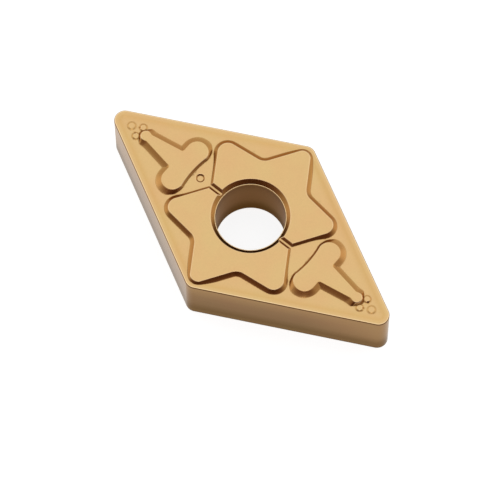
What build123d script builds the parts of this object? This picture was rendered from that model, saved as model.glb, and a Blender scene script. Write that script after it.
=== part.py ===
from build123d import *
import os
from math import atan2, cos, degrees, radians, sin, tan

# Carbide insert: a 55 degree rhombic, double-sided cutting insert, pressed and sintered as one piece.
# Millimetres. The origin is the hole's centre on the lower seating face, +Z is up through the hole,
# +X runs along the long diagonal to an acute nose, and +Y along the short diagonal.

os.makedirs("parts", exist_ok=True)

# Blank
inscribed_circle = 12.7  # diameter of the circle that touches the four flanks
nose_angle = 55.0  # angle of the acute corners, in degrees
nose_radius = 0.8  # round of all four corners
edge_thickness = 4.76  # between the planes of the upper and the lower cutting edges
edge_hone = 0.04  # round along the cutting edge
smallest_round = 0.05  # tightest corner that the pressing die can form

# Chip groove, inside the flat land that follows the cutting edge
land_width = 0.26  # flat land behind the cutting edge
rake_run = 0.45  # width of the slope from the land down to the groove's floor
groove_depth = 0.10  # groove's floor below the cutting edge

# Seating islands
seat_rise = 0.15  # seating faces above the cutting edge
star_wall_run = 0.34  # width of the star's sloping wall, seen from above
bone_wall_run = 0.45  # width of the bone's sloping wall, seen from above

# Six-pointed star round the hole
star_apex_gap = 0.16  # sharp apex short of the sharp obtuse corner
star_notch_inset = 2.00  # notch between two points, in from the middle of the cutting edge
star_shoulder_inset = 0.68  # sharp shoulder, in from the cutting edge
star_waist_wall = 0.63  # seating face left between the countersink and the star's sharp waist
apex_round = 0.57
notch_round = 1.00
shoulder_round = 0.72

# Bone-shaped island behind each acute nose
valley_width = 1.89  # from the star's sharp waist to the back of the lobes
valley_mouth = 0.866  # from the star's straight side to the lobe, where the valley leaves the lobe
lobe_radius = 0.80
lobe_spread = 1.41  # centre of each lobe from the long diagonal
bone_waist = 0.14  # hollow of the bone's inner side between the lobes
neck_root_width = 1.50  # where the neck leaves the lobes
neck_end_width = 0.54  # where the neck enters its head
head_radius = 0.42
head_setback = 3.72  # centre of the head back from the sharp acute corner
head_wall_run = 0.14  # width of the head's steeper wall, seen from above

# Valley between the star and the bone, and the channel from it to the hole
valley_depth = 0.17  # below the seating face
valley_wall_run = 0.11  # width of the valley's steep wall, seen from above
valley_ramp_run = 0.45  # length of the slope that leads from the valley down to the groove's floor
valley_exit_angle = 20.0  # where the valley leaves a lobe, in degrees round it from its back
channel_width = 0.56

# Chip-breaking bumps at the acute nose, measured back from the sharp acute corner
pip_setback = 2.38
pip_radius = 0.23
pip_height = 0.06
ear_setback = 3.25
ear_spread = 0.48
ear_radius = 0.24
ear_height = 0.10
bump_wall_run = 0.14  # width of a bump's sloping side, seen from above

# Round corner mark on the upper face, in the valley of one nose
mark_radius = 0.34
mark_depth = 0.09
mark_station = 4.78  # from the hole's centre

# Hole
bore_diameter = 5.16
countersink_width = 0.358  # from the bore to the seating face, seen from above
countersink_depth = 0.305

# Worked out from the sizes above
half_angle = radians(nose_angle / 2)
flank_reach = inscribed_circle / 2
acute_corner = flank_reach / sin(half_angle)
obtuse_corner = flank_reach / cos(half_angle)
middle_height = seat_rise + edge_thickness / 2
edge_height = middle_height + edge_thickness / 2
floor_height = edge_height - groove_depth
seat_height = edge_height + seat_rise
island_height = seat_height - floor_height
bore_radius = bore_diameter / 2
seat_hole_radius = bore_radius + countersink_width
groove_floor_inset = land_width + rake_run
bed_height = island_height - valley_depth
pip_x = acute_corner - pip_setback
ear_x = acute_corner - ear_setback
exit_angle = radians(valley_exit_angle)
standing = (Align.CENTER, Align.CENTER, Align.MIN)


def lean(run, height):
    """Taper, in degrees from the vertical, of a wall that leans out by run over its height."""
    return degrees(atan2(run, height))


def rhombus(inset):
    """Outline of the insert, drawn in from the cutting edge by inset, with its corners rounded to match."""
    reach = flank_reach - inset
    along_x = reach / sin(half_angle)
    along_y = reach / cos(half_angle)
    with BuildSketch() as outline:
        with BuildLine():
            Polyline((along_x, 0), (0, along_y), (-along_x, 0), (0, -along_y), close=True)
        make_face()
        fillet(outline.vertices(), radius=max(nose_radius - inset, smallest_round))
    return outline.sketch


def mirrored(point):
    """The point's mirror image across the long diagonal."""
    return point[0], -point[1]


apex = (0, obtuse_corner - star_apex_gap)
notch_reach = flank_reach - star_notch_inset
notch = (notch_reach * sin(half_angle), notch_reach * cos(half_angle))
waist = (seat_hole_radius + star_waist_wall, 0)
lobe_x = waist[0] + valley_width + lobe_radius
head_x = acute_corner - head_setback
lobe_centre = (lobe_x, lobe_spread)
bone_back = (lobe_x - lobe_radius, lobe_spread)
bone_hollow = (bone_back[0] + bone_waist, 0)
bone_front = (lobe_x + lobe_radius, lobe_spread)
lobe_exit = (lobe_x - lobe_radius * cos(exit_angle), lobe_spread + lobe_radius * sin(exit_angle))
side_slope = lobe_exit[1] / (lobe_exit[0] - valley_mouth - waist[0])
shoulder_reach = flank_reach - star_shoulder_inset
shoulder_y = (shoulder_reach - waist[0] * sin(half_angle)) / (cos(half_angle) + sin(half_angle) / side_slope)
shoulder = (waist[0] + shoulder_y / side_slope, shoulder_y)


def waist_line(y):
    """Point at height y on the straight side of the star that runs from its waist to its shoulder."""
    return waist[0] + y / side_slope, y


def corners_at(outline, point):
    """Corners of an outline that lie on a point or on its mirror images across the two diagonals."""
    close = 0.001
    return [
        corner
        for corner in outline.vertices()
        if abs(abs(corner.X) - abs(point[0])) < close and abs(abs(corner.Y) - abs(point[1])) < close
    ]


def star():
    """Seating face of the six-pointed star, before the hole and the channel are cut."""
    with BuildSketch() as outline:
        with BuildLine():
            Polyline((0, 0), apex, notch, shoulder, waist, close=True)
        make_face()
        mirror(about=Plane.YZ)
        mirror(about=Plane.XZ)
        fillet(corners_at(outline, apex), radius=apex_round)
        fillet(corners_at(outline, notch), radius=notch_round)
        fillet(corners_at(outline, shoulder), radius=shoulder_round)
    return outline.sketch


def bone():
    """Seating face of the bone on the +X side, without its head: two lobes and a narrowing neck."""
    root = (bone_front[0], neck_root_width / 2)
    neck_end = (head_x - head_radius / 2, neck_end_width / 2)
    with BuildSketch() as outline:
        with BuildLine():
            ThreePointArc(bone_back, bone_hollow, mirrored(bone_back))
            Polyline(
                bone_back,
                bone_front,
                root,
                neck_end,
                mirrored(neck_end),
                mirrored(root),
                mirrored(bone_front),
                mirrored(bone_back),
            )
        make_face()
        with Locations(lobe_centre, mirrored(lobe_centre)):
            Circle(lobe_radius)
    return outline.sketch


def valley_bed():
    """Ground between the star and the bone on the +X side, from one mouth of the valley to the other."""
    with BuildSketch() as outline:
        with BuildLine():
            Polyline(waist, waist_line(lobe_exit[1]), lobe_exit, (lobe_x, 0), close=True)
        make_face()
        mirror(about=Plane.XZ)
    return outline.sketch


def valley():
    """Valley and channel on the +X side, at the level of the seating face.

    It follows the star's straight side and the bone's inner side, leaves each lobe along a tangent,
    and ends over the groove, so that its steep walls run out into the sloping ones.
    """
    half_channel = channel_width / 2
    over_groove = (lobe_exit[0] + bone_wall_run * tan(exit_angle), lobe_exit[1] + bone_wall_run)
    star_exit = waist_line(over_groove[1] + star_wall_run)
    bore_end = (bore_radius / 2, half_channel)
    with BuildSketch() as outline:
        with BuildLine():
            ThreePointArc(bone_back, bone_hollow, mirrored(bone_back))
            CenterArc(lobe_centre, lobe_radius, 180, -valley_exit_angle)
            Polyline(
                lobe_exit,
                over_groove,
                star_exit,
                waist_line(half_channel),
                bore_end,
                mirrored(bore_end),
                mirrored(waist_line(half_channel)),
                mirrored(star_exit),
                mirrored(over_groove),
                mirrored(lobe_exit),
            )
            CenterArc(mirrored(lobe_centre), lobe_radius, 180, valley_exit_angle)
        make_face()
    return outline.sketch


with BuildPart() as insert_body:
    # Upper half of the blank, with its honed cutting edge
    with BuildSketch(Plane.XY.offset(middle_height)):
        add(rhombus(0))
    extrude(amount=edge_thickness / 2)
    fillet(insert_body.faces().sort_by(Axis.Z)[-1].edges(), radius=edge_hone)

    # Chip groove: a rake slope down from the land to a flat floor
    with BuildSketch(Plane.XY.offset(edge_height)):
        add(rhombus(land_width))
    with BuildSketch(Plane.XY.offset(floor_height)):
        add(rhombus(groove_floor_inset))
    loft(ruled=True, mode=Mode.SUBTRACT)

    # Star and bones, drawn at the foot of their walls and drawn in to the seating face
    with BuildSketch(Plane.XY.offset(floor_height)):
        add(star())
        offset(amount=star_wall_run)
    extrude(amount=island_height, taper=lean(star_wall_run, island_height))
    with BuildSketch(Plane.XY.offset(floor_height)):
        add(bone())
        offset(amount=bone_wall_run)
        mirror(about=Plane.YZ)
    extrude(amount=island_height, taper=lean(bone_wall_run, island_height))
    with Locations((head_x, 0, floor_height), (-head_x, 0, floor_height)):
        Cone(head_radius + head_wall_run, head_radius, island_height, align=standing)

    # Valleys and the channel
    with BuildSketch(Plane.XY.offset(floor_height)):
        add(valley_bed())
        offset(amount=valley_ramp_run, kind=Kind.INTERSECTION)
        mirror(about=Plane.YZ)
    extrude(amount=bed_height, taper=lean(valley_ramp_run, bed_height))
    with BuildSketch(Plane.XY.offset(seat_height)):
        add(valley())
        mirror(about=Plane.YZ)
    extrude(amount=-valley_depth, taper=lean(valley_wall_run, valley_depth), mode=Mode.SUBTRACT)

    # Pips and ears at the acute noses
    with Locations((pip_x, 0, floor_height), (-pip_x, 0, floor_height)):
        Cone(pip_radius + bump_wall_run, pip_radius, pip_height, align=standing)
    with Locations(*[(x, y, floor_height) for x in (ear_x, -ear_x) for y in (ear_spread, -ear_spread)]):
        Cone(ear_radius + bump_wall_run, ear_radius, ear_height, align=standing)

    # The lower face has the same relief
    mirror(about=Plane.XY.offset(middle_height))

    # Hole with a countersink at each seating face
    with BuildSketch(Plane.XZ):
        with BuildLine():
            Polyline(
                (0, 0),
                (seat_hole_radius, 0),
                (bore_radius, countersink_depth),
                (bore_radius, seat_height - countersink_depth),
                (seat_hole_radius, seat_height),
                (0, seat_height),
                close=True,
            )
        make_face()
    revolve(axis=Axis.Z, mode=Mode.SUBTRACT)

    # Corner mark, on the upper face alone
    with Locations((-mark_station, 0, seat_height - valley_depth)):
        Hole(mark_radius, depth=mark_depth)

insert_body.part.label = "insert_body"
export_step(insert_body.part, "parts/insert_body.step")
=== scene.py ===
import math

import bpy
import numpy as np
from mathutils import Matrix, Vector
from mathutils.geometry import delaunay_2d_cdt


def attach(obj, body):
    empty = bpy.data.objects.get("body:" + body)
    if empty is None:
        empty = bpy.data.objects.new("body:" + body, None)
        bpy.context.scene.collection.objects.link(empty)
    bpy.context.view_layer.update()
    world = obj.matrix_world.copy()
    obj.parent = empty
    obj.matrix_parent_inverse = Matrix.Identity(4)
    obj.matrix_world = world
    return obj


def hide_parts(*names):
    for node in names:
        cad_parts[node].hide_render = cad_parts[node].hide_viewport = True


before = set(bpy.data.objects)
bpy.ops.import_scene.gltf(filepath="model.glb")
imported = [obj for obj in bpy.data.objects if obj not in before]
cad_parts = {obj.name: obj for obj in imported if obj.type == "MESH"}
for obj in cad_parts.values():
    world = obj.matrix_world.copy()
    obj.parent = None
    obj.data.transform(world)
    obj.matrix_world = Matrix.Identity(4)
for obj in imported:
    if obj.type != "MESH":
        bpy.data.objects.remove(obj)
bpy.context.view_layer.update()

# Carbide insert: a rhombic, double-sided cutting insert with a satin gold-tan coating, lying on a plain
# pale floor. The relief of both faces is worked out here in millimetres and made in metres.
MM = 0.001

# Blank
inscribed_circle = 12.7
nose_angle = 55.0
nose_radius = 0.8
edge_thickness = 4.76
edge_hone = 0.06

# Heights, measured from the plane of the cutting edge
seat = 0.15
groove = -0.10
valley_floor = -0.02

# Chip groove
land_width = 0.26
rake_run = 0.45

# Star
star_wall_run = 0.34
star_valley_run = 0.30
star_wall_start = 1.4
star_apex_gap = 0.16
star_notch_inset = 2.00
star_shoulder_inset = 0.68
star_waist_wall = 0.63
apex_round = 0.57
notch_round = 1.00
shoulder_round = 0.72

# Bone
lobe_wall_run = 0.47
lobe_valley_run = 0.27
neck_wall_run = 0.45
valley_width = 1.89
valley_mouth = 0.866
valley_exit_angle = math.radians(20.0)
lobe_radius = 0.80
lobe_spread = 1.41
bone_waist = 0.14
neck_root_width = 1.50
neck_end_width = 0.54
neck_root_round = 0.22
head_radius = 0.37
head_setback = 3.74
head_side_run = 0.40
head_wall_run = 0.19
head_blend = 0.15

# Valley
valley_ramp_run = 0.45
channel_width = 0.56

# Bumps and the corner mark
pip_setback = 2.38
pip_radius = 0.41
pip_height = 0.07
ear_setback = 3.14
ear_spread = 0.43
ear_radius = 0.38
ear_height = 0.08
bump_wall_run = 0.24
pit_setback = 2.90
pit_spread = 0.26
pit_radius = 0.17
pit_depth = 0.055
mark_radius = 0.34
mark_depth = 0.09
mark_wall_run = 0.12
mark_station = 4.78

# Hole
bore_radius = 2.58
countersink_width = 0.358
countersink_depth = 0.33
throat_ledge = 0.05
throat_round = 0.02

# Softness of the pressed form: how far crests and feet are rounded, and how much a wall flattens to
# its foot
crest = 0.045
rake_crest = 0.03
rake_foot = 0.06
ramp_soft = 0.08
star_cove = 1.2
valley_cove = 1.0
bone_cove = 1.1
mark_cove = 1.3

# Fineness of the mesh: side of the smallest square, how many sizes of square, and the bend that calls
# for a smaller one. Points that round to the same step of a millimetre are one vertex.
face_mesh = (0.03, 5, 0.015)
under_mesh = (0.06, 4, 0.024)
corner_step = math.radians(8)
weld_steps = 1e4

# Painted shade and highlight in the coating's colour, as the bend of the surface: above 0 it darkens with
# painted shade, below 0 it brightens with a painted highlight
bend_reach = 0.04
# Lowest bend kept, which caps the painted highlight on crests
crest_limit = -0.4
# Painted highlight along the cutting edge over this width; on the hone a painted highlight on top turns to a
# painted dark line beneath; a painted highlight on the hole's ledge
edge_highlight_width = 0.08
edge_shade = -0.8
hone_shade = 1.2
ledge_shade = -0.5
# Painted shade on the flank fades towards the acute nose over this length, and a little painted shade is
# added at its tip
nose_fade = 5.0
nose_tip_shade = 0.1
# Height below the cutting edge, painted shade there, and how much less of it there is at the acute nose
flank_shades = (
    (-0.11, 1.3, 0),
    (-0.15, 0.05, 0),
    (-0.8, 0.3, 0.2),
    (-1.6, 0.55, 0.4),
    (-edge_thickness / 2, 0.6, 0.45),
)
# Height below the cutting edge, and painted shade there
bore_shades = (
    (-0.3, 1.1),
    (-0.7, 0.9),
    (-1.5, 0.8),
    (-edge_thickness / 2, 0.8),
)

# Worked out
half_angle = math.radians(nose_angle / 2)
flank_reach = inscribed_circle / 2
acute_corner = flank_reach / math.sin(half_angle)
obtuse_corner = flank_reach / math.cos(half_angle)
edge_normal = np.array((math.sin(half_angle), math.cos(half_angle)))
middle_height = seat + edge_thickness / 2
seat_hole_radius = bore_radius + countersink_width
waist_x = seat_hole_radius + star_waist_wall
lobe_x = waist_x + valley_width + lobe_radius
exit_x = lobe_x - lobe_radius * math.cos(valley_exit_angle)
exit_y = lobe_spread + lobe_radius * math.sin(valley_exit_angle)
side_slope = exit_y / (exit_x - valley_mouth - waist_x)
shoulder_reach = flank_reach - star_shoulder_inset
shoulder_y = (shoulder_reach - waist_x * edge_normal[0]) / (edge_normal[1] + edge_normal[0] / side_slope)
head_x = acute_corner - head_setback
back_x = lobe_x - lobe_radius
neck_start = lobe_x + lobe_radius
# Width of the bone's wall along the long diagonal
bone_stations = (
    back_x - 0.1,
    back_x + 0.5,
    neck_start,
    neck_start + 0.4,
    head_x - 0.45,
    head_x,
    head_x + 0.25,
)
bone_wall_runs = (
    lobe_valley_run,
    lobe_wall_run,
    lobe_wall_run,
    neck_wall_run,
    neck_wall_run,
    head_side_run,
    head_wall_run,
)
# From here to the shoulder, the star's wall changes from the valley's steep one to the groove's wide one
star_wall_stations = (star_wall_start, shoulder_y)
pip_x = acute_corner - pip_setback
ear_x = acute_corner - ear_setback
pit_x = acute_corner - pit_setback


def arc(centre, radius, start, end, steps):
    """Points on a circle from one angle to another, in radians."""
    angles = np.linspace(start, end, steps + 1)
    return [(centre[0] + radius * math.cos(a), centre[1] + radius * math.sin(a)) for a in angles]


def rounded(corners):
    """Closed outline through corners of (x, y, radius), each rounded by an arc."""
    made = []
    count = len(corners)
    for i in range(count):
        here = np.array(corners[i][:2])
        before = np.array(corners[i - 1][:2]) - here
        after = np.array(corners[(i + 1) % count][:2]) - here
        radius = corners[i][2]
        if radius == 0:
            made.append(tuple(here))
            continue
        before /= np.linalg.norm(before)
        after /= np.linalg.norm(after)
        half = math.acos(float(np.clip(before @ after, -1, 1))) / 2
        bisector = (before + after) / np.linalg.norm(before + after)
        centre = here + bisector * radius / math.sin(half)
        touch = here + before * radius / math.tan(half)
        leave = here + after * radius / math.tan(half)
        start = math.atan2(touch[1] - centre[1], touch[0] - centre[0])
        end = math.atan2(leave[1] - centre[1], leave[0] - centre[0])
        turn = (end - start + math.pi) % (2 * math.pi) - math.pi
        steps = max(2, math.ceil(abs(turn) / corner_step))
        made.extend(arc(centre, radius, start, start + turn, steps))
    return made


def signed_distance(x, y, outline):
    """Distance of each point to a closed outline, negative inside it."""
    points = np.array(outline)
    nearest = np.full(x.shape, np.inf)
    inside = np.zeros(x.shape, bool)
    for a, b in zip(points, np.roll(points, -1, axis=0)):
        run = b - a
        length = run @ run
        if length < 1e-12:
            continue
        share = np.clip(((x - a[0]) * run[0] + (y - a[1]) * run[1]) / length, 0, 1)
        gap = (x - a[0] - share * run[0]) ** 2 + (y - a[1] - share * run[1]) ** 2
        nearest = np.minimum(nearest, gap)
        if a[1] != b[1]:
            crosses = (a[1] > y) != (b[1] > y)
            inside ^= crosses & (x < (b[0] - a[0]) * (y - a[1]) / (b[1] - a[1]) + a[0])
    return np.where(inside, -1, 1) * np.sqrt(nearest)


def soft_min(a, b, soft):
    """Lower of two heights, with the corner between them rounded over."""
    blend = np.maximum(soft - np.abs(a - b), 0) / soft
    return np.minimum(a, b) - blend * blend * soft / 4


def soft_max(a, b, soft):
    """Higher of two heights, with the corner between them rounded over."""
    return -soft_min(-a, -b, soft)


def star_outline():
    """Seating face of the six-pointed star."""
    notch = (flank_reach - star_notch_inset) * edge_normal
    shoulder = (waist_x + shoulder_y / side_slope, shoulder_y)
    apex_y = obtuse_corner - star_apex_gap
    return rounded([
        (0, apex_y, apex_round),
        (notch[0], notch[1], notch_round),
        (shoulder[0], shoulder[1], shoulder_round),
        (waist_x, 0, 0),
        (shoulder[0], -shoulder[1], shoulder_round),
        (notch[0], -notch[1], notch_round),
        (0, -apex_y, apex_round),
        (-notch[0], -notch[1], notch_round),
        (-shoulder[0], -shoulder[1], shoulder_round),
        (-waist_x, 0, 0),
        (-shoulder[0], shoulder[1], shoulder_round),
        (-notch[0], notch[1], notch_round),
    ])


def hollow():
    """The bone's slightly hollow inner side, from its lower lobe to its upper one."""
    radius = (lobe_spread ** 2 + bone_waist ** 2) / (2 * bone_waist)
    reach = math.asin(lobe_spread / radius)
    return arc((back_x + bone_waist - radius, 0), radius, -reach, reach, 16)


def bone_outline():
    """Seating face of the bone, without its head."""
    root_y = neck_root_width / 2
    end_y = neck_end_width / 2
    top = lobe_spread + lobe_radius
    end = head_x - head_radius / 2
    lobe_round = lobe_radius * 0.999  # a hair less, so that a trace of straight side is left between two
    return hollow() + rounded([
        (back_x, lobe_spread, 0),
        (back_x, top, lobe_round),
        (neck_start, top, lobe_round),
        (neck_start, root_y, neck_root_round),
        (end, end_y, 0),
        (end, -end_y, 0),
        (neck_start, -root_y, neck_root_round),
        (neck_start, -top, lobe_round),
        (back_x, -top, lobe_round),
        (back_x, -lobe_spread, 0),
    ])


def bed_outline():
    """Ground of the valley and of the channel that leads from it to the hole."""
    star_side_x = waist_x + exit_y / side_slope
    upper = [(bore_radius, exit_y), (star_side_x, exit_y), (exit_x, exit_y), (lobe_x, 0)]
    return upper + [(px, -py) for px, py in reversed(upper[:-1])]


star_edge = star_outline()
bone_edge = bone_outline()
bed_edge = bed_outline()


def inset(x, y):
    """Distance in from the rounded outline of the insert."""
    core = flank_reach - nose_radius
    along = edge_normal[0] * x + edge_normal[1] * y - core
    tip_x = core / edge_normal[0]
    tip_y = core / edge_normal[1]
    tangent = (x - tip_x) * edge_normal[1] - y * edge_normal[0]
    past_acute = (tangent > 0) & (along > 0)
    rise = (y - tip_y) * edge_normal[0] - x * edge_normal[1]
    past_obtuse = (rise > 0) & (along > 0)
    reach = np.where(past_obtuse, np.hypot(x, y - tip_y), along)
    reach = np.where(past_acute, np.hypot(x - tip_x, y), reach)
    return nose_radius - reach


def fall_off(distance, run, power):
    """Share of a wall's height that is left at a distance outside its crest: 1 on top and 0 past its foot."""
    outside = soft_max(distance, np.zeros(distance.shape), crest)
    return np.clip(1 - outside / run, 0, 1) ** power


def dome(x, y, centre_x, centre_y, radius):
    """Share of a round bump's height, level on top and easing in and out over its side."""
    share = np.clip((radius - np.hypot(x - centre_x, y - centre_y)) / bump_wall_run, 0, 1)
    return share * share * (3 - 2 * share)


def ground(x, y):
    """Height of the land, the rake, the groove and the valley's bed."""
    rake = (inset(x, y) - land_width) * groove / rake_run
    rake = soft_min(np.zeros(x.shape), rake, rake_crest)
    z = soft_max(rake, np.full(x.shape, groove), rake_foot)
    bed = valley_floor - signed_distance(x, y, bed_edge) * (valley_floor - groove) / valley_ramp_run
    return np.maximum(z, soft_min(bed, np.full(x.shape, valley_floor), ramp_soft))


def islands(x, y):
    """Share of the seating faces' height above the groove: 1 on the star and the bones."""
    to_star = np.maximum(signed_distance(x, y, star_edge), channel_width / 2 - y)
    star_run = np.interp(y, star_wall_stations, (star_valley_run, star_wall_run))
    star = fall_off(to_star, star_run, np.interp(y, star_wall_stations, (valley_cove, star_cove)))
    to_head = np.hypot(x - head_x, y) - head_radius
    to_bone = soft_min(signed_distance(x, y, bone_edge), to_head, head_blend)
    bone_run = np.interp(x, bone_stations, bone_wall_runs)
    bone = fall_off(to_bone, bone_run, np.interp(x, bone_stations[:2], (valley_cove, bone_cove)))
    return np.maximum(star, bone)


def relief(x, y, marked):
    """Height of the face above the plane of the cutting edge, in one quadrant."""
    x, y = np.abs(x), np.abs(y)
    ear = dome(x, y, ear_x, ear_spread, ear_radius) * ear_height
    pip = dome(x, y, pip_x, 0, pip_radius) * pip_height
    z = np.maximum(ground(x, y), groove + np.maximum(ear, pip))
    z = np.maximum(z, groove + (seat - groove) * islands(x, y))
    z = z - dome(x, y, pit_x, pit_spread, pit_radius) * pit_depth
    countersink = seat + (np.hypot(x, y) - seat_hole_radius) * countersink_depth / countersink_width
    z = soft_min(z, countersink, crest)
    if marked:
        rim = fall_off(mark_radius - np.hypot(x - mark_station, y), mark_wall_run, mark_cove)
        z = np.where(rim < 1, np.minimum(z, valley_floor - mark_depth * (1 - rim)), z)
    return z


def slope_normals(x, y, marked):
    """Unit normals of the relief, from its slope."""
    step = 0.002
    fall_x = (relief(x - step, y, marked) - relief(x + step, y, marked)) / (2 * step)
    fall_y = (relief(x, y - step, marked) - relief(x, y + step, marked)) / (2 * step)
    normals = np.stack((fall_x, fall_y, np.ones(x.shape)), axis=1)
    return normals / np.linalg.norm(normals, axis=1)[:, None]


def bends(x, y, marked):
    """How strongly the relief bends, as a shade number: positive in the feet of walls for painted shade,
    negative on their crests for a painted highlight, with a painted highlight added along the cutting edge.
    """
    around = relief(x + bend_reach, y, marked) + relief(x - bend_reach, y, marked)
    around += relief(x, y + bend_reach, marked) + relief(x, y - bend_reach, marked)
    bend = np.maximum((around - 4 * relief(x, y, marked)) / bend_reach, crest_limit)
    # Painted highlight on the land along the cutting edge
    edge_highlight = np.clip(1.6 - inset(x, y) / edge_highlight_width, 0, 1)
    return bend + edge_shade * edge_highlight


def edge_walk():
    """One quadrant of the outline, from the acute nose to the obtuse one: centres and directions."""
    core = flank_reach - nose_radius
    acute = np.array((core / edge_normal[0], 0.0))
    obtuse = np.array((0.0, core / edge_normal[1]))
    tilt = math.pi / 2 - half_angle
    centres, turns = [], []
    for angle in np.linspace(0, tilt, 21):
        centres.append(acute)
        turns.append(angle)
    for share in np.linspace(0, 1, 91)[1:]:
        centres.append(acute + (obtuse - acute) * share)
        turns.append(tilt)
    for angle in np.linspace(tilt, math.pi / 2, 11)[1:]:
        centres.append(obtuse)
        turns.append(angle)
    turns = np.array(turns)
    outward = np.stack((np.cos(turns), np.sin(turns)), axis=1)
    outward[0] = (1, 0)
    outward[-1] = (0, 1)
    return np.array(centres), outward


def bore_walk():
    """Outward directions round one quadrant of the bore."""
    angles = np.linspace(0, math.pi / 2, 49)
    outward = np.stack((np.cos(angles), np.sin(angles)), axis=1)
    outward[0] = (1, 0)
    outward[-1] = (0, 1)
    return outward


edge_centres, edge_outward = edge_walk()
bore_outward = bore_walk()
cone_angle = math.atan2(countersink_depth, countersink_width)
throat_radius = bore_radius + throat_ledge
throat_height = seat + (throat_radius - seat_hole_radius) * countersink_depth / countersink_width


def face_border(cell):
    """Closed border of a face's quadrant, inside the honed edge and outside the hole."""
    rim = edge_centres + edge_outward * (nose_radius - edge_hone)
    throat = bore_outward * throat_radius
    spine_x = np.arange(throat_radius + cell, rim[0, 0] - cell / 2, cell * 2)
    spine_y = np.arange(throat_radius + cell, rim[-1, 1] - cell / 2, cell * 2)
    along_x = np.stack((spine_x, np.zeros(spine_x.shape)), axis=1)
    along_y = np.stack((np.zeros(spine_y.shape), spine_y[::-1]), axis=1)
    return np.concatenate((along_x, rim, along_y, throat[::-1]))


def face_points(cell, levels, bend, marked):
    """Grid points inside a face's quadrant, closer together where the relief bends."""
    columns = np.arange(1, int(acute_corner / cell) + 1)
    rows = np.arange(1, int(obtuse_corner / cell) + 1)
    column, row = np.meshgrid(columns, rows, indexing="ij")
    column, row = column.ravel(), row.ravel()
    x, y = column * cell, row * cell
    clear = cell * 0.7
    kept = (inset(x, y) > edge_hone + clear) & (np.hypot(x, y) > throat_radius + clear)
    column, row, x, y = column[kept], row[kept], x[kept], y[kept]
    chosen = np.zeros(x.shape, bool)
    for level in range(levels):
        reach = 2 ** level
        on_level = (column % reach == 0) & (row % reach == 0) & ~chosen
        if level == levels - 1:
            chosen[on_level] = True
            break
        px, py = x[on_level], y[on_level]
        gap = cell * reach
        here = relief(px, py, marked)
        worst = np.zeros(px.shape)
        for dx, dy in ((1, 0), (0, 1), (0.7, 0.7), (0.7, -0.7)):
            ahead = relief(px + dx * gap, py + dy * gap, marked)
            behind = relief(px - dx * gap, py - dy * gap, marked)
            worst = np.maximum(worst, np.abs(ahead + behind - 2 * here))
        chosen[np.flatnonzero(on_level)[worst > bend * gap]] = True
    return np.stack((x[chosen], y[chosen]), axis=1)


def quadrant(cell, levels, bend, marked):
    """Triangulated quadrant of a face: positions, normals, bends and triangles."""
    border = face_border(cell)
    flat = np.concatenate((border, face_points(cell, levels, bend, marked)))
    loop = list(range(len(border)))
    made = delaunay_2d_cdt([Vector(p) for p in flat], [], [loop], 1, 1e-7)
    flat = np.maximum(np.array([tuple(v) for v in made[0]]), 0)
    x, y = flat[:, 0], flat[:, 1]
    points = np.stack((x, y, relief(x, y, marked)), axis=1)
    return points, slope_normals(x, y, marked), bends(x, y, marked), np.array(made[2])


class Skin:
    """Vertices, normals and triangles of the insert, welded by position."""

    def __init__(self):
        self.index = {}
        self.points = []
        self.normals = []
        self.bends = []
        self.triangles = []

    def add(self, points, normals, bent, triangles, flip):
        """Add a patch, with its triangles turned over if flip is set."""
        keys = []
        for point, normal, bend in zip(points, normals, bent):
            key = tuple(round(value * weld_steps) for value in point)
            if key not in self.index:
                self.index[key] = len(self.points)
                self.points.append(point)
                self.normals.append(normal)
                self.bends.append(bend)
            keys.append(self.index[key])
        for a, b, c in triangles:
            a, b, c = keys[a], keys[b], keys[c]
            if a != b and b != c and c != a:
                self.triangles.append((a, c, b) if flip else (a, b, c))

    def add_mirrored(self, patch, side_x, side_y, side_z):
        """Add a patch of the first octant, mirrored to the sides given as 1 or -1."""
        points, normals, bent, triangles = patch
        sides = np.array((side_x, side_y, side_z))
        lifted = points.copy()
        lifted[:, 2] += edge_thickness / 2
        self.add(lifted * sides, normals * sides, bent, triangles, side_x * side_y * side_z < 0)


def strip(rings, ring_normals, bent):
    """Patch of triangles between successive rows of points of equal length."""
    count = len(rings[0])
    triangles = []
    for level in range(len(rings) - 1):
        for i in range(count - 1):
            a = level * count + i
            triangles.append((a, a + count, a + 1))
            triangles.append((a + 1, a + count, a + count + 1))
    joined = [np.concatenate(rows) for rows in (rings, ring_normals, bent)]
    return *joined, np.array(triangles)


def flank_rows():
    """Upper half of the flank, in one quadrant, with its honed edge: a painted highlight on top and a painted
    dark line beneath, then painted shade down the flank that is lighter towards the acute nose, with a touch
    more at its tip.
    """
    rings, normals, bent = [], [], []
    count = len(edge_centres)
    for turn in np.linspace(0, math.pi / 2, 6):
        reach = nose_radius - edge_hone * (1 - math.sin(turn))
        flat = edge_centres + edge_outward * reach
        z = -edge_hone * (1 - math.cos(turn))
        rings.append(np.column_stack((flat, np.full(count, z))))
        up = np.full(count, math.cos(turn))
        normals.append(np.column_stack((edge_outward * math.sin(turn), up)))
        # Painted highlight at the top of the hone, turning to painted shade beneath
        bent.append(np.full(count, edge_shade + (hone_shade - edge_shade) * min(turn / (math.pi / 4), 1)))
    flat = edge_centres + edge_outward * nose_radius
    nose_x = edge_centres[0, 0]
    # Painted shade lifts towards the acute nose, and a little more is painted at its tip
    corner = np.interp(edge_centres[:, 0], (nose_x - nose_fade, nose_x), (0, 1))
    tip = np.interp(edge_outward[:, 1], (0.3, 0.8), (1, 0)) * nose_tip_shade
    for z, shade, lift in flank_shades:
        rings.append(np.column_stack((flat, np.full(count, z))))
        normals.append(np.column_stack((edge_outward, np.zeros(count))))
        bent.append(shade - lift * corner + tip)
    return strip(rings, normals, bent)


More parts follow.
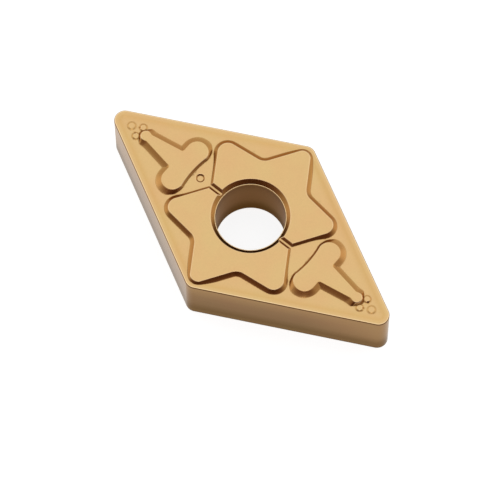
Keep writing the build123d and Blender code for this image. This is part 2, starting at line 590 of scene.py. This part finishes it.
def bore_rows():
    """Upper half of the bore in one quadrant, with a painted highlight on its ledge and painted shade down
    its wall.
    """
    lip = bore_radius + throat_round
    rows = [
        (throat_radius, throat_height, cone_angle, 0.0),
        (throat_radius - 0.003, throat_height, 0.0, ledge_shade),
        (lip, throat_height, 0.0, ledge_shade),
    ]
    for turn in np.linspace(0, math.pi / 2, 4)[1:]:
        r = lip - throat_round * math.sin(turn)
        z = throat_height - throat_round * (1 - math.cos(turn))
        rows.append((r, z, turn, 0.0))
    for z, shade in bore_shades:
        rows.append((bore_radius, z, math.pi / 2, shade))
    count = len(bore_outward)
    rings, normals, bent = [], [], []
    for r, z, lean, shade in rows:
        rings.append(np.column_stack((bore_outward * r, np.full(count, z))))
        up = np.full(count, math.cos(lean))
        normals.append(np.column_stack((-bore_outward * math.sin(lean), up)))
        bent.append(np.full(count, shade))
    points, ring_normals, shades, triangles = strip(rings, normals, bent)
    return points, ring_normals, shades, triangles[:, ::-1]


def insert_skin():
    """The whole insert as one welded mesh. The corner mark is on the upper face, at the -X nose."""
    skin = Skin()
    plain = quadrant(*face_mesh, False)
    marked = quadrant(*face_mesh, True)
    under = quadrant(*under_mesh, False)
    flank = flank_rows()
    bore = bore_rows()
    for side_x in (1, -1):
        for side_y in (1, -1):
            skin.add_mirrored(plain if side_x > 0 else marked, side_x, side_y, 1)
            skin.add_mirrored(under, side_x, side_y, -1)
            for side_z in (1, -1):
                skin.add_mirrored(flank, side_x, side_y, side_z)
                skin.add_mirrored(bore, side_x, side_y, side_z)
    points = np.array(skin.points)
    points[:, 2] += middle_height
    mesh = bpy.data.meshes.new("insert_skin")
    mesh.from_pydata((points * MM).tolist(), [], skin.triangles)
    mesh.normals_split_custom_set_from_vertices(skin.normals)
    # The bend attribute carries the painted shade and painted highlight numbers to the coating
    bend = mesh.attributes.new("bend", "FLOAT", "POINT")
    bend.data.foreach_set("value", np.array(skin.bends, np.float32))
    skin_object = bpy.data.objects.new("insert_skin", mesh)
    bpy.context.scene.collection.objects.link(skin_object)
    return skin_object


def camera():
    """Camera that looks at the insert from above its near right flank. Lengths are in millimetres."""
    azimuth, elevation, roll = math.radians(40.028), math.radians(68.208), math.radians(-0.359)
    distance, shift_right, shift_up = 305.417, -0.045, -1.562
    focal_pixels, picture_pixels = 4154.46, 500
    back = Vector((
        math.sin(azimuth) * math.cos(elevation),
        -math.cos(azimuth) * math.cos(elevation),
        math.sin(elevation),
    ))
    level = Vector((0, 0, 1)).cross(back).normalized()
    rise = back.cross(level)
    right = level * math.cos(roll) + rise * math.sin(roll)
    up = back.cross(right)
    place = back * distance + right * shift_right + up * shift_up + Vector((0, 0, middle_height))
    data = bpy.data.cameras.new("camera")
    data.sensor_width = 36
    data.lens = focal_pixels / picture_pixels * data.sensor_width
    data.clip_start, data.clip_end = 0.01, 10
    holder = bpy.data.objects.new("camera", data)
    turned = Matrix((right, up, back)).transposed().to_4x4()
    holder.matrix_world = Matrix.Translation(place * MM) @ turned
    bpy.context.scene.collection.objects.link(holder)
    bpy.context.scene.camera = holder


class Nodes:
    """Short hand for a node tree."""

    def __init__(self, tree):
        self.tree = tree
        tree.nodes.clear()

    def new(self, kind, settings=(), **inputs):
        """Node with its settings, and its inputs named with underscores for spaces."""
        node = self.tree.nodes.new(kind)
        for name, value in dict(settings).items():
            setattr(node, name, value)
        for name, value in inputs.items():
            self.put(node, name.replace("_", " "), value)
        return node

    def put(self, node, name, value):
        """Link an output to an input of the node, or set the input's value."""
        socket = node.inputs[int(name)] if name.isdigit() else node.inputs[name]
        if isinstance(value, bpy.types.NodeSocket):
            self.tree.links.new(value, socket)
        else:
            socket.default_value = value

    def math(self, operation, *values):
        node = self.new("ShaderNodeMath", {"operation": operation})
        for i, value in enumerate(values):
            self.put(node, str(i), value)
        return node.outputs[0]

    def ramp(self, fac, *stops, smooth=False):
        """Colour ramp through stops of a place and a colour or grey."""
        node = self.new("ShaderNodeValToRGB")
        ramp = node.color_ramp
        ramp.interpolation = "EASE" if smooth else "LINEAR"
        while len(ramp.elements) > 1:
            ramp.elements.remove(ramp.elements[-1])
        for i, (at, colour) in enumerate(stops):
            element = ramp.elements[0] if i == 0 else ramp.elements.new(at)
            element.position = at
            element.color = (*colour, 1) if isinstance(colour, tuple) else (colour, colour, colour, 1)
        self.put(node, "Fac", fac)
        return node.outputs[0]

    def dot(self, vector, fixed):
        node = self.new("ShaderNodeVectorMath", {"operation": "DOT_PRODUCT"})
        self.put(node, "0", vector)
        self.put(node, "1", fixed)
        return node.outputs["Value"]

    def mix(self, fac, a, b, blend="MIX"):
        node = self.new("ShaderNodeMix", {"data_type": "RGBA", "blend_type": blend})
        self.put(node, "0", fac)
        self.put(node, "6", a)
        self.put(node, "7", b)
        return node.outputs[2]


def sky():
    """Soft even light all round, brighter low at the sides, with one darker patch at the front."""
    world = bpy.data.worlds.new("studio")
    world.use_nodes = True
    bpy.context.scene.world = world
    n = Nodes(world.node_tree)
    direction = n.new("ShaderNodeTexCoord").outputs["Generated"]
    parts = n.new("ShaderNodeSeparateXYZ", Vector=direction)
    height = parts.outputs["Z"]
    light = n.ramp(height, (0.0, 0.9), (0.3, 0.95), (0.6, 1.0), (1.0, 1.05))
    level = n.math("SQRT", n.math("SUBTRACT", 1.0, n.math("MULTIPLY", height, height)))
    front = n.math("DIVIDE", n.dot(direction, (0.64, -0.768, 0)), level)
    band = n.ramp(height, (0.24, 0.0), (0.35, 1.0), (0.84, 1.0), (0.92, 0.0), smooth=True)
    shade = n.ramp(
        n.math("MULTIPLY", n.dot(direction, (0.588, -0.809, 0)), band),
        (0.05, 1.0),
        (0.15, (0.80, 0.77, 0.73)),
        (0.3, (0.58, 0.50, 0.46)),
        (0.42, (0.38, 0.27, 0.25)),
        (0.55, (0.28, 0.165, 0.15)),
        (0.7, (0.21, 0.115, 0.10)),
        (0.85, (0.13, 0.06, 0.05)),
        (0.95, (0.07, 0.03, 0.02)),
    )
    turned = n.math("MULTIPLY_ADD", front, 0.5, 0.5)
    sides = n.ramp(turned, (0.1, 0.12), (0.25, 0.45), (0.42, 0.45), (0.56, 0.0), smooth=True)
    sides = n.mix(1.0, sides, n.ramp(height, (0.6, 1.0), (0.85, 0.0), smooth=True), "MULTIPLY")
    light = n.mix(1.0, light, sides, "ADD")
    spot = n.ramp(n.dot(direction, (0.209, -0.249, 0.946)), (0.975, 0.0), (0.996, 1.1), smooth=True)
    glow = n.mix(1.0, n.mix(1.0, light, shade, "MULTIPLY"), spot, "ADD")
    backdrop = n.new("ShaderNodeBackground", Color=glow, Strength=1.0)
    out = n.new("ShaderNodeOutputWorld")
    n.put(out, "Surface", backdrop.outputs[0])


def pale_floor():
    """Wide white floor that keeps the insert's shadow."""
    half, z = 2, -0.01 * MM
    mesh = bpy.data.meshes.new("floor")
    corners = [(-half, -half, z), (half, -half, z), (half, half, z), (-half, half, z)]
    mesh.from_pydata(corners, [], [(0, 1, 2, 3)])
    floor = bpy.data.objects.new("floor", mesh)
    bpy.context.scene.collection.objects.link(floor)
    material = bpy.data.materials.new("pale_floor")
    material.use_nodes = True
    n = Nodes(material.node_tree)
    diffuse = n.new("ShaderNodeBsdfDiffuse", Color=(0.3, 0.3, 0.3, 1))
    path = n.new("ShaderNodeLightPath")
    seen = n.math("MAXIMUM", path.outputs["Is Camera Ray"], path.outputs["Is Glossy Ray"])
    seen = n.math("MAXIMUM", seen, path.outputs["Is Transmission Ray"])
    glow = n.new("ShaderNodeEmission", Color=(1, 1, 1, 1), Strength=n.math("MULTIPLY", seen, 0.86))
    both = n.new("ShaderNodeAddShader")
    n.put(both, "0", diffuse.outputs[0])
    n.put(both, "1", glow.outputs[0])
    out = n.new("ShaderNodeOutputMaterial")
    n.put(out, "Surface", both.outputs[0])
    mesh.materials.append(material)


def coat_tone(n, upright, grain, cloud, bend):
    """Base colour: painted shade that darkens it the steeper the surface lies, then grain, painted shade in
    the feet and a painted highlight on the crests.
    """
    # Painted shade: darker the steeper the surface lies
    tone = n.ramp(
        upright,
        (0.0, (0.30, 0.165, 0.06)),
        (0.3, (0.30, 0.165, 0.06)),
        (0.6, (0.32, 0.145, 0.045)),
        (0.77, (0.34, 0.16, 0.045)),
        (0.87, (0.41, 0.207, 0.064)),
        (0.94, (0.555, 0.34, 0.13)),
        (0.976, (0.66, 0.42, 0.17)),
        (1.0, (0.71, 0.47, 0.213)),
    )
    fine = n.ramp(grain, (0.3, 0.975), (0.7, 1.025))
    broad = n.ramp(cloud, (0.3, (1.0, 0.955, 0.96)), (0.7, (0.985, 1.025, 0.995)))
    # Painted shade in the feet of walls and from the shades set on the flank and the bore
    feet = n.ramp(bend, (0.1, 1.0), (1.0, (0.42, 0.32, 0.26)))
    for change in (fine, broad, feet):
        tone = n.mix(1.0, tone, change, "MULTIPLY")
    # Painted highlight on crests, along the cutting edge and on the hole's ledge
    painted_highlight = n.ramp(n.math("MULTIPLY", bend, -1.0), (0.2, 0.0), (0.7, 0.85))
    return n.mix(painted_highlight, tone, (0.97, 0.78, 0.50, 1))


def coating():
    """Satin gold-tan coating, with painted shade on steep walls, in their feet and towards the lower face,
    and painted highlights on crests and edges.
    """
    material = bpy.data.materials.new("coated_carbide")
    material.use_nodes = True
    n = Nodes(material.node_tree)
    place = n.new("ShaderNodeTexCoord").outputs["Object"]
    normal = n.new("ShaderNodeSeparateXYZ", Vector=n.new("ShaderNodeNewGeometry").outputs["Normal"])
    upright = n.math("ABSOLUTE", normal.outputs["Z"])
    grain = n.new("ShaderNodeTexNoise", Vector=place, Scale=9000.0, Detail=3.0, Roughness=0.6).outputs["Fac"]
    cloud = n.new("ShaderNodeTexNoise", Vector=place, Scale=380.0, Detail=3.0).outputs["Fac"]
    # Shade numbers of the painted shade and highlight, made with the mesh
    bend = n.new("ShaderNodeAttribute", {"attribute_name": "bend"}).outputs["Fac"]
    tone = coat_tone(n, upright, grain, cloud, bend)

    across = n.new("ShaderNodeVectorMath", {"operation": "MULTIPLY"})
    n.put(across, "0", place)
    n.put(across, "1", (1, 1, 0))
    radius = n.new("ShaderNodeVectorMath", {"operation": "LENGTH"})
    n.put(radius, "0", across.outputs[0])
    in_bore = n.math("LESS_THAN", radius.outputs["Value"], (bore_radius + 0.01) * MM)
    # Painted shade: darker towards the lower face
    height = n.new("ShaderNodeSeparateXYZ", Vector=place).outputs["Z"]
    share = n.math("MULTIPLY", height, 0.5 / (middle_height * MM))
    low = n.ramp(share, (0.2, 0.6), (0.4, 0.9), (0.55, 0.97), (0.7, 1.0))
    tone = n.mix(1.0, tone, low, "MULTIPLY")

    tint = n.ramp(upright, (0.3, (0.87, 0.79, 0.70)), (0.5, (1.0, 0.95, 0.85)))
    tint = n.mix(in_bore, tint, (0.9, 0.73, 0.6, 1))
    # The painted shade towards the lower face also dims the reflection's tint
    tint = n.mix(1.0, tint, n.ramp(low, (0.5, 0.75), (1.0, 1.0)), "MULTIPLY")
    rough = n.ramp(upright, (0.0, 0.17), (0.8, 0.19), (0.95, 0.28))
    rough = n.math("MAXIMUM", rough, n.math("MULTIPLY", in_bore, 0.42))
    rough = n.math("ADD", rough, n.ramp(grain, (0.3, 0.0), (0.7, 0.03)))
    bump = n.new("ShaderNodeBump", Strength=0.1, Distance=0.000002, Height=grain)
    shader = n.new("ShaderNodeBsdfPrincipled", Base_Color=tone, Metallic=1.0, Roughness=rough)
    n.put(shader, "Normal", bump.outputs[0])
    n.put(shader, "Specular Tint", tint)
    out = n.new("ShaderNodeOutputMaterial")
    n.put(out, "Surface", shader.outputs[0])
    return material


scene = bpy.context.scene
scene.view_settings.view_transform = "Standard"
camera()
sky()
pale_floor()
skin = insert_skin()
skin.data.materials.append(coating())
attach(skin, "root")
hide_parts("insert_body")
